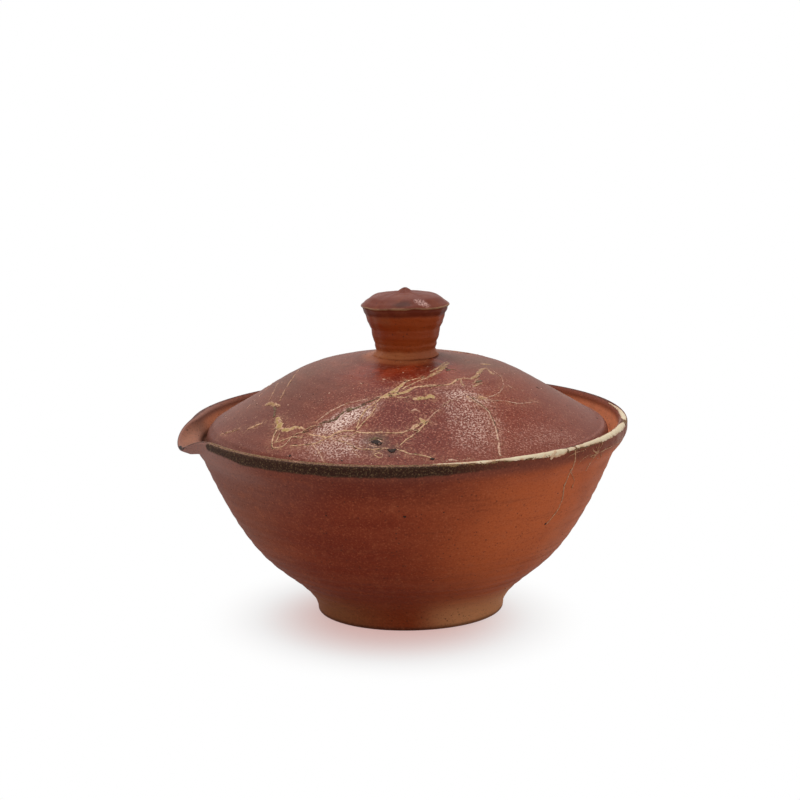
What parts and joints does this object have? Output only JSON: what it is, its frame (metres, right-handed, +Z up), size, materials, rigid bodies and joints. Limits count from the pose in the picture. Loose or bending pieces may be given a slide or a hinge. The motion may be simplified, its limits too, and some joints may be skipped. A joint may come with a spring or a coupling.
{
  "type": "shiboridashi",
  "caption": "Wide handleless stoneware teapot with a lip pulled into a short spout, a strainer comb behind it, and a loose domed lid with a flaring knob.",
  "frame": {"origin": "middle of the flat, wire-cut base, on the table", "axes": "+Z up through the knob, square to the base; -X out through the middle of the spout; +Y across, so that the pot is the same on both sides of the XZ plane"},
  "size_m": [0.117, 0.114, 0.0848],
  "materials": {
    "bowl_clay": "unglazed wood-fired stoneware, matt to satin, brown-red to orange, with cream ash on the lip",
    "lid_clay": "unglazed wood-fired stoneware, satin purple-brown, finely pitted, with tan ash and cord marks",
    "knob_clay": "unglazed wood-fired stoneware, satin orange-brown with throwing rings"
  },
  "bodies": {
    "pot": {"bowl": "bowl_clay"},
    "cover": {"lid": "lid_clay", "knob": "knob_clay"}
  },
  "joints": [
    {"name": "lid_lift", "type": "slide", "parent": "pot", "child": "cover", "axis": [0, 0, 1], "range_m": [0, 0.06]}
  ]
}
